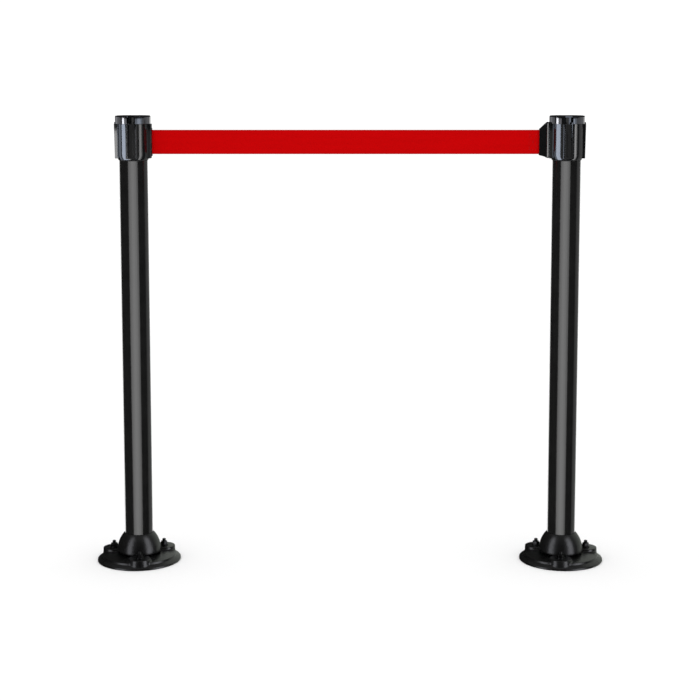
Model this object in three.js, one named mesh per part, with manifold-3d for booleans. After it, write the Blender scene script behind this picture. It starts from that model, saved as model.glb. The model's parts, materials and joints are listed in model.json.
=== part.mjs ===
// A belt barrier: two posts that bolt to the floor, joined by a retractable belt.
//
// Each post is a round tube on a cast flange with three bolted pads. A bell-shaped collar covers
// the joint, and a moulded head stands on top with T-slot receivers for belt ends. The head of the
// left post holds the spring cassette that the belt winds into, and pays it out through a window.
// The belt's end piece drops into a receiver of the right post's head.
//
// Units are millimetres. +X runs along the belt from the left post to the right one, +Z is up, the
// front of the barrier faces -Y, and the origin lies on the floor midway between the posts.

import * as THREE from "three";
import { mergeVertices } from "three/addons/utils/BufferGeometryUtils.js";
import Module from "manifold-3d";

const wasm = await Module();
wasm.setup();

// ---------------------------------------------------------------- driving dimensions

const POST_SPACING = 910; // between the two post axes
const TOTAL_HEIGHT = 955; // floor to the top of the caps
const TUBE_RADIUS = 30.15; // 60.3 mm tube
const TUBE_WALL = 2;
const BASE_RADIUS = 88.9; // 7 inch flange
const BELT_WIDTH = 50.8; // 2 inch webbing
const BELT_THICKNESS = 0.8;
const HEAD_HEIGHT = 93; // from the bottom of the head body to the top of the cap
const HEAD_RADIUS = 33.6;
const HEAD_REACH = 38.4; // from the axis to the outer face of a receiver's lips
const CAP_RADIUS = 37.2;
const CAP_HEIGHT = 17.2;

const GAP = 0.3; // left between pieces that touch on the real object
const ROUND = 32; // facets of a large circle
const SMALL_ROUND = 16; // facets of a small circle

// Base
const RIM_HEIGHT = 3.6;
const STEP_RADIUS = 78; // edge of the raised middle of the flange
const STEP_HEIGHT = 13;
const CROWN_HEIGHT = 16; // top of the flange under the collar
const PAD_RADIUS = 24;
const PAD_CIRCLE = 62; // distance of a bolted pad from the post axis
const PAD_TOP = 20;
const PAD_ANGLES = [-90, 30, 150]; // degrees round the post, the first at the front
const BASE_TURN = 7.6; // degrees that each base is bolted down turned towards the middle
const HUB_RADIUS = TUBE_RADIUS - TUBE_WALL - 0.35;
const HUB_BORE = 22;
const HUB_TOP = 58;
const COLLAR_RADIUS = 46.8;
const COLLAR_BOTTOM = PAD_TOP + GAP; // the collar rests on the pads
const COLLAR_TOP = 60.9;
const COLLAR_RISE = 54.3; // height of the whole ellipse that the collar's side follows
const COLLAR_WALL = 2.2;
const SET_SCREW_RADIUS = 3;
const SET_SCREW_HEIGHT = 36;
const SET_SCREW_ANGLES = [60, 240];

// Anchors
const STUD_RADIUS = 4;
const STUD_TOP = 34.5;
const NUT_ACROSS_FLATS = 13;
const NUT_HEIGHT = 6.5;
const WASHER_RADIUS = 8.5;
const WASHER_HEIGHT = 1.6;

// Head
const HEAD_BOTTOM = TOTAL_HEIGHT - HEAD_HEIGHT;
const BODY_TOP = TOTAL_HEIGHT - CAP_HEIGHT - GAP;
const LIP_TOP = TOTAL_HEIGHT - 13.7;
const FLOOR_TOP = HEAD_BOTTOM + 6; // inside floor of the head body
const LEDGE = TOTAL_HEIGHT - 24.6; // step that carries the cassette's top plate
const CAVITY_RADIUS = 26;
const LEDGE_RADIUS = 27.2;
const TUBE_TOP = HEAD_BOTTOM - 1;
const ADAPTER_TOP = HEAD_BOTTOM + 2.5;
const ADAPTER_RADIUS = 29.3;
const SKIRT_BOTTOM = HEAD_BOTTOM - 33;
const HEAD_SCREW_CIRCLE = 21;
const HEAD_SCREW_ANGLES = [45, 225];

// Receiver: a T-slot that is open at the top, and its two lips
const LIP_HALF = 12; // half the width of the block that a receiver is cut into
const NUB_HALF = 7.9; // half the width over the two lips where they rise into the cap
const SLOT_HALF = 5.2;
const CHANNEL_HALF = 7.7;
const CHANNEL_BACK = 29.4;
const CHANNEL_FRONT = 35.2;
const CHANNEL_FLOOR = FLOOR_TOP + 1;

// Belt
const BELT_TOP = TOTAL_HEIGHT - 30;
const BELT_BOTTOM = BELT_TOP - BELT_WIDTH;
const SPOOL_HUB = 10;
const SPOOL_RADIUS = 24.6;
const ROLL_RADIUS = 18.6;
const SHAFT_RADIUS = 4;
const ARBOR_RADIUS = 6.5;
const OUTLET_FACE = HEAD_REACH + 1.5; // outer face of the outlet bezel
const BEZEL_SLOT_HALF = 1.6;

// Belt end, measured from the right post's axis towards the belt
const END_FACE = HEAD_REACH + 1.2; // its flange, just clear of the lips
const END_NOSE = 58.5; // its thin end, where the belt goes in
const END_BAR_BOTTOM = CHANNEL_FLOOR + GAP;
const END_BAR_TOP = TOTAL_HEIGHT - 21;
const END_PIN_AT = 48;
const END_PIN_RADIUS = 1.5;
const POCKET_HALF = 3.4; // half the width of the pocket that the belt goes into
const FOLD_END = 84; // where the belt's sewn fold ends

// ---------------------------------------------------------------- materials

const finish = (color, roughness, metalness = 0) =>
  new THREE.MeshStandardMaterial({ color, roughness, metalness });

const CAST_BLACK = finish(0x141516, 0.38, 0.2);
const TUBE_BLACK = finish(0x1d1d1e, 0.32, 0.3);
const HEAD_BLACK = finish(0x17181a, 0.2);
const CAP_BLACK = finish(0x15171a, 0.1);
const INNER_PLASTIC = finish(0x4a4c50, 0.5);
const ZINC_BLACK = finish(0x101112, 0.35, 0.7);
const STEEL = finish(0x9a9da0, 0.35, 0.9);
const WEBBING = finish(0xc00410, 0.75);

// ---------------------------------------------------------------- solids from three.js shapes

const radians = (degrees) => (degrees * Math.PI) / 180;

// A closed geometry as a solid, turned outwards if its faces point in.
function solid(geometry) {
  const bare = geometry.clone();
  bare.deleteAttribute("normal");
  bare.deleteAttribute("uv");
  const merged = mergeVertices(bare, 1e-4);
  const make = (triVerts) =>
    new wasm.Manifold(
      new wasm.Mesh({ numProp: 3, vertProperties: merged.attributes.position.array, triVerts }),
    );
  const triVerts = new Uint32Array(merged.index.array);
  const made = make(triVerts);
  return made.volume() < 0 ? make(triVerts.reverse()) : made;
}

function geometryOf(made) {
  const mesh = made.getMesh();
  const geometry = new THREE.BufferGeometry();
  geometry.setAttribute("position", new THREE.BufferAttribute(mesh.vertProperties, 3));
  geometry.setIndex(new THREE.BufferAttribute(mesh.triVerts, 1));
  const flat = geometry.toNonIndexed();
  flat.computeVertexNormals();
  return flat;
}

// A profile of [radius, height] points, revolved about the Z axis.
function turned(profile, facets = ROUND) {
  const points = profile.map(([r, z]) => new THREE.Vector2(r, z));
  if (profile[0][0] > 0 || profile.at(-1)[0] > 0) points.push(points[0].clone());
  return solid(new THREE.LatheGeometry(points, facets).rotateX(Math.PI / 2));
}

const disc = (radius, low, high, facets = ROUND) =>
  turned([[0, low], [radius, low], [radius, high], [0, high]], facets);

const ring = (inner, outer, low, high, facets = ROUND) =>
  turned([[inner, low], [outer, low], [outer, high], [inner, high]], facets);

function block(x0, x1, y0, y1, z0, z1) {
  const geometry = new THREE.BoxGeometry(x1 - x0, y1 - y0, z1 - z0);
  return solid(geometry.translate((x0 + x1) / 2, (y0 + y1) / 2, (z0 + z1) / 2));
}

// An outline of [x, y] points, raised along Z.
function raised(outline, low, high) {
  const shape = new THREE.Shape(outline.map(([x, y]) => new THREE.Vector2(x, y)));
  const options = { depth: high - low, bevelEnabled: false };
  return solid(new THREE.ExtrudeGeometry(shape, options).translate(0, 0, low));
}

// An outline of [x, z] points, spread to both sides of the XZ plane.
function spread(outline, half) {
  const shape = new THREE.Shape(outline.map(([x, z]) => new THREE.Vector2(x, z)));
  const flat = new THREE.ExtrudeGeometry(shape, { depth: 2 * half, bevelEnabled: false });
  return solid(flat.rotateX(Math.PI / 2).translate(0, half, 0));
}

// A strip of even thickness that stands on edge along a path of [x, y] points.
function strip(path, thickness, low, high) {
  const side = (sign) =>
    path.map(([x, y], i) => {
      const [ax, ay] = path[Math.max(i - 1, 0)];
      const [bx, by] = path[Math.min(i + 1, path.length - 1)];
      const length = Math.hypot(bx - ax, by - ay);
      const offset = (sign * thickness) / 2 / length;
      return [x - (by - ay) * offset, y + (bx - ax) * offset];
    });
  return raised([...side(1), ...side(-1).reverse()], low, high);
}

// A solid made along +X, turned to stand at an angle round the Z axis.
const aimed = (made, degrees) => made.rotate([0, 0, degrees]);

// A solid made on the Z axis, moved out to a radius at an angle.
const placed = (made, radius, degrees) =>
  made.translate([
    radius * Math.cos(radians(degrees)),
    radius * Math.sin(radians(degrees)),
    0,
  ]);

function named(name, made, material) {
  const mesh = new THREE.Mesh(geometryOf(made), material);
  mesh.name = name;
  return mesh;
}

// ---------------------------------------------------------------- base

// A point of the collar's outer ellipse at a height, moved in by an inset.
function collarRadius(height, inset = 0) {
  const share = Math.min((height - COLLAR_BOTTOM) / (COLLAR_RISE - inset), 1);
  return (COLLAR_RADIUS - inset) * Math.sqrt(1 - share * share);
}

const collarHeights = (count) =>
  Array.from({ length: count + 1 }, (_, i) => {
    const share = Math.sin((i / count) * (Math.PI / 2));
    return COLLAR_BOTTOM + (COLLAR_TOP - COLLAR_BOTTOM) * share;
  });

function baseFlange() {
  const plate = turned([
    [HUB_BORE, 0],
    [BASE_RADIUS - 1, 0],
    [BASE_RADIUS, 1],
    [BASE_RADIUS, RIM_HEIGHT - 0.8],
    [BASE_RADIUS - 1.2, RIM_HEIGHT + 0.6],
    [STEP_RADIUS + 3, STEP_HEIGHT - 5],
    [STEP_RADIUS + 1, STEP_HEIGHT - 4],
    [STEP_RADIUS, STEP_HEIGHT - 0.8],
    [STEP_RADIUS - 1.5, STEP_HEIGHT],
    [COLLAR_RADIUS + 1, CROWN_HEIGHT - 0.3],
    [COLLAR_RADIUS - 1, CROWN_HEIGHT],
    [HUB_RADIUS, CROWN_HEIGHT],
    [HUB_RADIUS, HUB_TOP - 2],
    [HUB_RADIUS - 2, HUB_TOP],
    [HUB_BORE, HUB_TOP],
  ], ROUND);
  const pad = turned([
    [0, 2],
    [PAD_RADIUS, 2],
    [PAD_RADIUS - 0.6, PAD_TOP - 1.2],
    [PAD_RADIUS - 1.8, PAD_TOP],
    [0, PAD_TOP],
  ], SMALL_ROUND);
  const boltHole = disc(STUD_RADIUS + 1, -1, PAD_TOP + 1, SMALL_ROUND);
  const cast = PAD_ANGLES.reduce((made, a) => made.add(placed(pad, PAD_CIRCLE, a)), plate);
  const drilled = PAD_ANGLES.reduce(
    (made, a) => made.subtract(placed(boltHole, PAD_CIRCLE, a)),
    cast,
  );
  return drilled.subtract(setScrewHoles());
}

function baseCollar() {
  const heights = collarHeights(8);
  const outside = heights.map((z) => [collarRadius(z), z]);
  const bore = TUBE_RADIUS + GAP;
  const inside = heights
    .map((z) => [Math.max(collarRadius(z, COLLAR_WALL), bore), z])
    .filter(([r, z]) => r > bore || z === COLLAR_TOP);
  return turned([...outside, ...inside.reverse()]);
}

function radialPeg(radius, from, to, facets = 16) {
  return disc(radius, from, to, facets).rotate([0, 90, 0]).translate([0, 0, SET_SCREW_HEIGHT]);
}

function setScrewHoles() {
  const hole = radialPeg(SET_SCREW_RADIUS + GAP, HUB_BORE - 2, TUBE_RADIUS + 2);
  const [first, second] = SET_SCREW_ANGLES.map((a) => aimed(hole, a));
  return first.add(second);
}

function setScrew(angle) {
  const peg = radialPeg(SET_SCREW_RADIUS, HUB_BORE + 1, TUBE_RADIUS + 1.5);
  const socket = radialPeg(1.7, TUBE_RADIUS - 1.5, TUBE_RADIUS + 2, 6);
  return aimed(peg.subtract(socket), angle);
}

const postTube = () =>
  ring(TUBE_RADIUS - TUBE_WALL, TUBE_RADIUS, CROWN_HEIGHT + GAP, TUBE_TOP).subtract(
    setScrewHoles(),
  );

const WASHER_BOTTOM = PAD_TOP + GAP;
const NUT_BOTTOM = WASHER_BOTTOM + WASHER_HEIGHT + GAP;

const anchorWasher = () =>
  ring(STUD_RADIUS + GAP, WASHER_RADIUS, WASHER_BOTTOM, WASHER_BOTTOM + WASHER_HEIGHT, SMALL_ROUND);

function anchorNut() {
  const corner = NUT_ACROSS_FLATS / 2 / Math.cos(Math.PI / 6);
  const top = NUT_BOTTOM + NUT_HEIGHT;
  const hexagon = disc(corner, NUT_BOTTOM, top, 6);
  const crown = turned([
    [0, NUT_BOTTOM],
    [corner, NUT_BOTTOM],
    [corner, top - 0.8],
    [corner - 1.3, top],
    [0, top],
  ], SMALL_ROUND);
  const bore = disc(STUD_RADIUS + GAP, NUT_BOTTOM - 1, top + 1, SMALL_ROUND);
  return hexagon.intersect(crown).subtract(bore);
}

const anchorStud = () =>
  turned([
    [0, GAP],
    [STUD_RADIUS, GAP],
    [STUD_RADIUS, STUD_TOP - 1],
    [STUD_RADIUS - 1, STUD_TOP],
    [0, STUD_TOP],
  ], SMALL_ROUND);

// ---------------------------------------------------------------- head

// The plug that holds the head in the tube. Its skirt is also the housing of the power spring.
function headAdapter() {
  const skirt = TUBE_RADIUS - TUBE_WALL - GAP;
  const plug = turned([
    [7.5, TUBE_TOP + GAP],
    [7.5, ADAPTER_TOP],
    [ADAPTER_RADIUS, ADAPTER_TOP],
    [ADAPTER_RADIUS, TUBE_TOP + GAP],
    [skirt, TUBE_TOP + GAP],
    [skirt, SKIRT_BOTTOM],
    [skirt - 2, SKIRT_BOTTOM],
    [skirt - 2, TUBE_TOP + GAP],
  ]);
  const hole = disc(1.9, TUBE_TOP - 1, ADAPTER_TOP + 1, 12);
  return HEAD_SCREW_ANGLES.reduce(
    (made, a) => made.subtract(placed(hole, HEAD_SCREW_CIRCLE, a)),
    plug,
  );
}

function headScrew(angle) {
  const screw = turned([
    [0, FLOOR_TOP - 9.5],
    [1.6, FLOOR_TOP - 9.5],
    [1.6, FLOOR_TOP - 1.7],
    [3.3, FLOOR_TOP - 1.7],
    [3.3, FLOOR_TOP + 0.1],
    [0, FLOOR_TOP + 0.1],
  ], 16);
  return placed(screw, HEAD_SCREW_CIRCLE, angle);
}

// The T-shaped space of one receiver, along +X.
const receiverSpace = () =>
  block(CHANNEL_BACK, CHANNEL_FRONT, -CHANNEL_HALF, CHANNEL_HALF, CHANNEL_FLOOR, TOTAL_HEIGHT)
    .add(block(CHANNEL_FRONT - 1, 42, -SLOT_HALF, SLOT_HALF, CHANNEL_FLOOR, TOTAL_HEIGHT));

// Through the wall behind the outlet, wide enough for the belt's slanting run to the spool.
const outletWindow = () =>
  block(20, 31.5, -6.8, 6.8, BELT_BOTTOM - 2.5, BELT_TOP + 2.5)
    .add(block(31, 42, -5, 5, BELT_BOTTOM - 2.5, BELT_TOP + 2.5));

// receivers and outlets are lists of directions in degrees.
function headBody(receivers, outlets) {
  const shell = turned([
    [0, HEAD_BOTTOM],
    [HEAD_RADIUS - 2.4, HEAD_BOTTOM],
    [HEAD_RADIUS, HEAD_BOTTOM + 9],
    [HEAD_RADIUS, BODY_TOP],
    [0, BODY_TOP],
  ]);
  const post = spread([
    [20, HEAD_BOTTOM + 3.5],
    [HEAD_REACH - 1, HEAD_BOTTOM + 3.5],
    [HEAD_REACH, HEAD_BOTTOM + 4.5],
    [HEAD_REACH, BODY_TOP],
    [20, BODY_TOP],
  ], LIP_HALF);
  const nubs = block(CHANNEL_FRONT, HEAD_REACH, -NUB_HALF, NUB_HALF, BODY_TOP - 1, LIP_TOP);
  let made = shell;
  for (const a of [...receivers, ...outlets]) made = made.add(aimed(post, a));
  for (const a of receivers) made = made.add(aimed(nubs, a));
  made = made
    .subtract(disc(CAVITY_RADIUS, FLOOR_TOP, TOTAL_HEIGHT))
    .subtract(disc(LEDGE_RADIUS, LEDGE, TOTAL_HEIGHT))
    .subtract(disc(15, HEAD_BOTTOM - 1, FLOOR_TOP + 1))
    .subtract(disc(ADAPTER_RADIUS + GAP, HEAD_BOTTOM - 1, ADAPTER_TOP + GAP));
  const screwHole = disc(2.2, HEAD_BOTTOM, FLOOR_TOP + 1, 12)
    .add(disc(3.7, FLOOR_TOP - 2, FLOOR_TOP + 1, 16));
  for (const a of HEAD_SCREW_ANGLES) {
    made = made.subtract(placed(screwHole, HEAD_SCREW_CIRCLE, a));
  }
  for (const a of receivers) made = made.subtract(aimed(receiverSpace(), a));
  for (const a of outlets) made = made.subtract(aimed(outletWindow(), a));
  return made;
}

function headCap(receivers) {
  const bottom = TOTAL_HEIGHT - CAP_HEIGHT;
  const underside = TOTAL_HEIGHT - 3.5;
  const screwSeat = TOTAL_HEIGHT - 6;
  let made = turned([
    [0, screwSeat - 12.7],
    [8, screwSeat - 12.7],
    [8, underside],
    [24.2, underside],
    [24.2, LEDGE + 3.6],
    [26.8, LEDGE + 3.6],
    [26.8, underside],
    [CAP_RADIUS - 2.4, underside],
    [CAP_RADIUS - 2.4, bottom],
    [CAP_RADIUS, bottom],
    [CAP_RADIUS, TOTAL_HEIGHT - 3],
    [CAP_RADIUS - 0.9, TOTAL_HEIGHT - 0.9],
    [CAP_RADIUS - 3, TOTAL_HEIGHT],
    [0, TOTAL_HEIGHT],
  ]);
  made = made
    .subtract(disc(2.8, screwSeat - 14, TOTAL_HEIGHT, 16))
    .subtract(disc(6.5, screwSeat, TOTAL_HEIGHT + 1, SMALL_ROUND));
  const entry = block(28.2, 42, -NUB_HALF - GAP, NUB_HALF + GAP, LEDGE, TOTAL_HEIGHT + 1);
  for (const a of receivers) made = made.subtract(aimed(entry, a));
  return made;
}

function capScrew() {
  const seat = TOTAL_HEIGHT - 6 + GAP;
  const socket = disc(2, seat + 1.2, seat + 4, 6);
  return turned([
    [0, seat - 24],
    [2.4, seat - 24],
    [2.4, seat],
    [4.5, seat],
    [4.5, seat + 2.8],
    [0, seat + 2.8],
  ], 16).subtract(socket);
}

const capPlug = () =>
  turned([
    [0, TOTAL_HEIGHT - 2.6],
    [6.2, TOTAL_HEIGHT - 2.6],
    [6.2, TOTAL_HEIGHT - 0.6],
    [5.6, TOTAL_HEIGHT],
    [0, TOTAL_HEIGHT],
  ], SMALL_ROUND);

// Holds the cap screw in the head that has no cassette.
const capStandoff = () =>
  turned([
    [0, HEAD_BOTTOM - 4],
    [7.2, HEAD_BOTTOM - 4],
    [7.2, ADAPTER_TOP + GAP],
    [10, ADAPTER_TOP + GAP],
    [10, FLOOR_TOP + 3],
    [6, FLOOR_TOP + 5],
    [6, TOTAL_HEIGHT - 19],
    [2.7, TOTAL_HEIGHT - 19],
    [2.7, TOTAL_HEIGHT - 32],
    [0, TOTAL_HEIGHT - 32],
  ], SMALL_ROUND);

// ---------------------------------------------------------------- belt cassette

const SPOOL_BOTTOM = BELT_BOTTOM - 3.3;
const SPOOL_TOP = BELT_TOP + 3.3;

function beltSpool() {
  const reel = turned([
    [SHAFT_RADIUS + 0.35, SKIRT_BOTTOM + 6],
    [ARBOR_RADIUS, SKIRT_BOTTOM + 6],
    [ARBOR_RADIUS, SPOOL_BOTTOM],
    [SPOOL_RADIUS, SPOOL_BOTTOM],
    [SPOOL_RADIUS, SPOOL_BOTTOM + 2],
    [SPOOL_HUB, SPOOL_BOTTOM + 2],
    [SPOOL_HUB, SPOOL_TOP - 2],
    [SPOOL_RADIUS, SPOOL_TOP - 2],
    [SPOOL_RADIUS, SPOOL_TOP],
    [SHAFT_RADIUS + 0.35, SPOOL_TOP],
  ]);
  const window = placed(disc(2.6, SPOOL_TOP - 3, SPOOL_TOP + 1, 12), 21, 0);
  return [0, 72, 144, 216, 288].reduce((made, a) => made.subtract(aimed(window, a)), reel);
}

const beltRoll = () =>
  ring(SPOOL_HUB + GAP, ROLL_RADIUS, BELT_BOTTOM, BELT_TOP);

// From the roll's tangent to the outlet, with a soft bend where it meets the bezel.
function beltLeadIn() {
  const winding = ROLL_RADIUS + GAP + BELT_THICKNESS / 2;
  const meeting = 33;
  const leaving = Math.acos(winding / meeting);
  const start = [winding * Math.cos(leaving), winding * Math.sin(leaving)];
  const slope = start[1] / (meeting - start[0]);
  const bend = 3;
  const before = [meeting - bend, slope * bend];
  const path = [start, before];
  for (const t of [0.25, 0.5, 0.75, 1]) {
    const x = meeting - bend * (1 - t) ** 2 + bend * t ** 2;
    path.push([x, before[1] * (1 - t) ** 2]);
  }
  path.push([OUTLET_FACE, 0]);
  return strip(path, BELT_THICKNESS, BELT_BOTTOM, BELT_TOP);
}

function outletBezel() {
  const low = BELT_BOTTOM - 2;
  const high = BELT_TOP + 2;
  const body = block(31.8, OUTLET_FACE, -4.7, 4.7, low, high);
  const frame = block(HEAD_REACH + GAP, OUTLET_FACE, -6.5, 6.5, low - 2, high + 2);
  const mouth = raised([
    [30, 5],
    [30, -5],
    [35, -BEZEL_SLOT_HALF],
    [41, -BEZEL_SLOT_HALF],
    [41, BEZEL_SLOT_HALF],
    [35, BEZEL_SLOT_HALF],
  ], BELT_BOTTOM - 0.8, BELT_TOP + 0.8);
  return body.add(frame).subtract(mouth);
}

const spoolShaft = () =>
  turned([
    [0, SKIRT_BOTTOM - 2.5],
    [7.5, SKIRT_BOTTOM - 2.5],
    [7.5, SKIRT_BOTTOM + 0.7],
    [SHAFT_RADIUS, SKIRT_BOTTOM + 0.7],
    [SHAFT_RADIUS, TOTAL_HEIGHT - 19],
    [2.7, TOTAL_HEIGHT - 19],
    [2.7, TOTAL_HEIGHT - 32],
    [0, TOTAL_HEIGHT - 32],
  ], SMALL_ROUND);

const springCover = () =>
  ring(SHAFT_RADIUS + GAP, 25.5, SKIRT_BOTTOM + 1, SKIRT_BOTTOM + 3);

const cassetteTop = () =>
  ring(SHAFT_RADIUS + GAP, LEDGE_RADIUS - GAP, LEDGE + GAP, LEDGE + GAP + 3);

function powerSpring() {
  const turns = 5;
  const steps = turns * 16;
  const inner = ARBOR_RADIUS + 2;
  const outer = 23.5;
  const path = Array.from({ length: steps + 1 }, (_, i) => {
    const share = i / steps;
    const radius = inner + (outer - inner) * share ** 1.4;
    const angle = share * turns * 2 * Math.PI;
    return [radius * Math.cos(angle), radius * Math.sin(angle)];
  });
  return strip(path, 0.6, SKIRT_BOTTOM + 4, HEAD_BOTTOM - 5);
}

// ---------------------------------------------------------------- belt and belt end

const beltStrap = () =>
  block(
    -POST_SPACING / 2 + OUTLET_FACE + GAP,
    POST_SPACING / 2 - END_PIN_AT - END_PIN_RADIUS - BELT_THICKNESS - 2 * GAP,
    -BELT_THICKNESS / 2,
    BELT_THICKNESS / 2,
    BELT_BOTTOM,
    BELT_TOP,
  );

// Made with x running from the right post's axis towards the belt, then turned to face it.
function beltEndBody() {
  const height = spread([
    [END_FACE, HEAD_BOTTOM + 4.1],
    [END_FACE, TOTAL_HEIGHT - 13],
    [END_FACE + 2.9, TOTAL_HEIGHT - 14.2],
    [END_FACE + 7.8, TOTAL_HEIGHT - 18.2],
    [END_NOSE, BELT_TOP + 1.9],
    [END_NOSE, BELT_BOTTOM - 1.9],
    [END_FACE + 9, BELT_BOTTOM - 4.8],
    [END_FACE + 2.9, HEAD_BOTTOM + 4.5],
  ], 11);
  const plan = raised([
    [END_FACE, 11],
    [END_FACE, -11],
    [END_FACE + 2.9, -11],
    [END_FACE + 4.4, -9],
    [END_FACE + 12, -6],
    [END_NOSE, -5],
    [END_NOSE, 5],
    [END_FACE + 12, 6],
    [END_FACE + 4.4, 9],
    [END_FACE + 2.9, 11],
  ], HEAD_BOTTOM, TOTAL_HEIGHT);
  const bar = block(
    CHANNEL_BACK + 1.2,
    CHANNEL_FRONT - 1.2,
    -CHANNEL_HALF + 0.5,
    CHANNEL_HALF - 0.5,
    END_BAR_BOTTOM,
    END_BAR_TOP,
  );
  const neck = block(
    CHANNEL_FRONT - 2,
    END_FACE + 1,
    -SLOT_HALF + 0.6,
    SLOT_HALF - 0.6,
    END_BAR_BOTTOM,
    END_BAR_TOP,
  );
  const pocket = block(
    END_PIN_AT - 3.4,
    END_NOSE + 1,
    -POCKET_HALF,
    POCKET_HALF,
    BELT_BOTTOM - 0.9,
    BELT_TOP + 0.9,
  );
  return height
    .intersect(plan)
    .add(bar)
    .add(neck)
    .subtract(pocket)
    .subtract(
      disc(END_PIN_RADIUS + GAP, BELT_BOTTOM - 20, BELT_TOP + 3.4, 16).translate([END_PIN_AT, 0, 0]),
    );
}

// The belt's folded end: round the pin and back along the belt, where it is sewn down.
function beltLoop() {
  const inner = END_PIN_RADIUS + GAP;
  const eye = ring(inner, inner + BELT_THICKNESS, BELT_BOTTOM, BELT_TOP, SMALL_ROUND);
  const near = BELT_THICKNESS / 2 + GAP;
  const tail = block(
    END_PIN_AT + inner + 0.1,
    FOLD_END,
    -near - BELT_THICKNESS,
    -near,
    BELT_BOTTOM,
    BELT_TOP,
  );
  return eye.translate([END_PIN_AT, 0, 0]).add(tail);
}

// The steel pin that the belt's sewn loop goes round.
const beltEndPin = () =>
  disc(END_PIN_RADIUS, BELT_BOTTOM - 2.4, BELT_TOP + 3, 16).translate([END_PIN_AT, 0, 0]);

// ---------------------------------------------------------------- assembly

function post(side, x, turn, receivers, outlets) {
  const group = new THREE.Group();
  group.position.x = x;
  const add = (name, made, material) => group.add(named(`${side}_${name}`, made, material));
  const addTurned = (name, made, material) => add(name, aimed(made, turn), material);

  addTurned("base_flange", baseFlange(), CAST_BLACK);
  addTurned("base_collar", baseCollar(), CAST_BLACK);
  addTurned("post_tube", postTube(), TUBE_BLACK);
  SET_SCREW_ANGLES.forEach((a, i) => addTurned(`set_screw_${i + 1}`, setScrew(a), ZINC_BLACK));
  PAD_ANGLES.forEach((a, i) => {
    addTurned(`anchor_stud_${i + 1}`, placed(anchorStud(), PAD_CIRCLE, a), ZINC_BLACK);
    addTurned(`anchor_washer_${i + 1}`, placed(anchorWasher(), PAD_CIRCLE, a), ZINC_BLACK);
    addTurned(`anchor_nut_${i + 1}`, placed(anchorNut(), PAD_CIRCLE, a), ZINC_BLACK);
  });
  add("head_adapter", headAdapter(), INNER_PLASTIC);
  add("head_body", headBody(receivers, outlets), HEAD_BLACK);
  HEAD_SCREW_ANGLES.forEach((a, i) => add(`head_screw_${i + 1}`, headScrew(a), STEEL));
  add("head_cap", headCap(receivers), CAP_BLACK);
  add("cap_screw", capScrew(), STEEL);
  add("cap_plug", capPlug(), CAP_BLACK);
  return group;
}

function cassette(x) {
  const group = new THREE.Group();
  group.position.x = x;
  group.add(
    named("belt_spool", beltSpool(), INNER_PLASTIC),
    named("belt_roll", beltRoll(), WEBBING),
    named("belt_lead_in", beltLeadIn(), WEBBING),
    named("belt_outlet_bezel", outletBezel(), HEAD_BLACK),
    named("spool_shaft", spoolShaft(), STEEL),
    named("spring_cover", springCover(), INNER_PLASTIC),
    named("power_spring", powerSpring(), STEEL),
    named("cassette_top_plate", cassetteTop(), INNER_PLASTIC),
  );
  return group;
}

function beltEnd(x) {
  const group = new THREE.Group();
  group.position.x = x;
  group.rotation.z = Math.PI;
  group.add(
    named("belt_end_body", beltEndBody(), HEAD_BLACK),
    named("belt_end_pin", beltEndPin(), STEEL),
    named("belt_loop", beltLoop(), WEBBING),
  );
  return group;
}

const barrier = new THREE.Group();
barrier.add(
  post("left", -POST_SPACING / 2, BASE_TURN, [-90, 90, 180], [0]),
  post("right", POST_SPACING / 2, -BASE_TURN, [-90, 0, 90, 180], []),
  cassette(-POST_SPACING / 2),
  beltEnd(POST_SPACING / 2),
  named("belt_strap", beltStrap(), WEBBING),
);

const standoff = named("right_cap_standoff", capStandoff(), STEEL);
standoff.position.x = POST_SPACING / 2;
barrier.add(standoff);

export default barrier;
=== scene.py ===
"""Looks of the belt barrier: two bolted posts, their slotted heads and the red belt between them.

Every shape is built here in the part's own frame, from sizes in millimetres. +X runs along the belt,
the front faces -Y and +Z is up.
"""

import json
import math

import bpy
import numpy as np
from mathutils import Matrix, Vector

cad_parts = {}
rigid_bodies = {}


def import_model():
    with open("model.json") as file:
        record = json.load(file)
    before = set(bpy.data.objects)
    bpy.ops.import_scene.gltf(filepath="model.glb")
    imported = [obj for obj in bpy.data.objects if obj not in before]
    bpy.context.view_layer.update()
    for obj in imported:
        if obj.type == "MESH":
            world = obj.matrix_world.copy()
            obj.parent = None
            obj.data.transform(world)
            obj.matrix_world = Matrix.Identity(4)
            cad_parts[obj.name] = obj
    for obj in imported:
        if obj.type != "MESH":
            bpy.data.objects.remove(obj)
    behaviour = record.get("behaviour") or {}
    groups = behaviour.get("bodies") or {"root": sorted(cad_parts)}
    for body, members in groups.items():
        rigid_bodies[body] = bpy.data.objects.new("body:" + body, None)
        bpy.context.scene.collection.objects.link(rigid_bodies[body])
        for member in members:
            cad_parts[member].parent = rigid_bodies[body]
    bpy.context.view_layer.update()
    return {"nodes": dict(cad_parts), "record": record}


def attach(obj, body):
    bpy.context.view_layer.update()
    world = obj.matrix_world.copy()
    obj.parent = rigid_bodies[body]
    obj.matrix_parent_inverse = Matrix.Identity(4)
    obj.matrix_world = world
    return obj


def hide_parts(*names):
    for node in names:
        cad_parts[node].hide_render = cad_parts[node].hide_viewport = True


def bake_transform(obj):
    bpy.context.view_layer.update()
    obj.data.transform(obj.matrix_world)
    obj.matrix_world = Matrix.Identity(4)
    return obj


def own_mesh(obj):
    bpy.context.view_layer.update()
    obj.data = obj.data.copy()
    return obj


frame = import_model()

# ------------------------------------------------------------------ sizes, in millimetres

MM = 0.001
POSTS = {"left": -455.0, "right": 455.0}
TOP = 955.0
GAP = 0.3

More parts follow.
